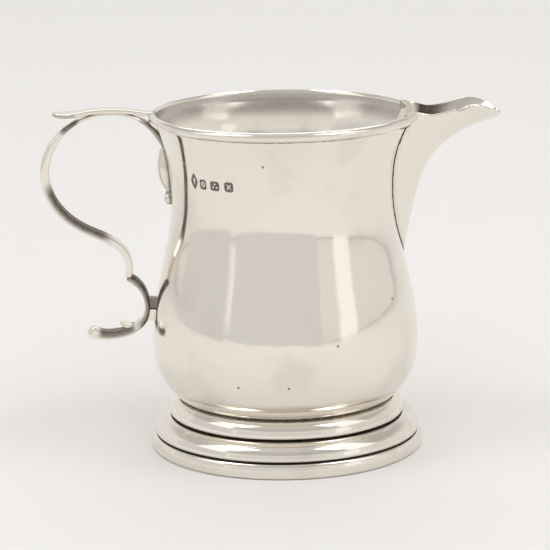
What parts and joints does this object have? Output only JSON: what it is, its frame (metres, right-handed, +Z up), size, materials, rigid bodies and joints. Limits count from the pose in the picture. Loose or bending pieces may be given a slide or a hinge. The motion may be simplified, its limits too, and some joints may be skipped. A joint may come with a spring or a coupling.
{
  "type": "cream jug",
  "caption": "Small polished silver cream jug: baluster body on a stepped ring foot, long drawn-out spout and scroll handle with thumb rest.",
  "frame": {"origin": "centre of the foot's underside, on the body's axis", "axes": "+Z up along the body's axis, +X along the spout, the handle is towards -X"},
  "size_m": [0.124, 0.0738, 0.0942],
  "materials": {
    "silver": "polished sterling silver, softly worn",
    "silver_foot": "polished sterling silver with dark recesses",
    "silver_cast": "polished cast sterling silver, darker in its hollows"
  },
  "bodies": {
    "root": {"vessel": "silver", "rim_wire": "silver", "spout": "silver", "foot_upper_ring": "silver_foot", "foot_middle_ring": "silver_foot", "foot_base_ring": "silver_foot", "main_scroll": "silver_cast", "thumb_rest": "silver_cast", "wall_drop": "silver_cast", "lower_scroll": "silver_cast", "scroll_spur": "silver_cast", "wall_lug": "silver_cast"}
  },
  "joints": []
}
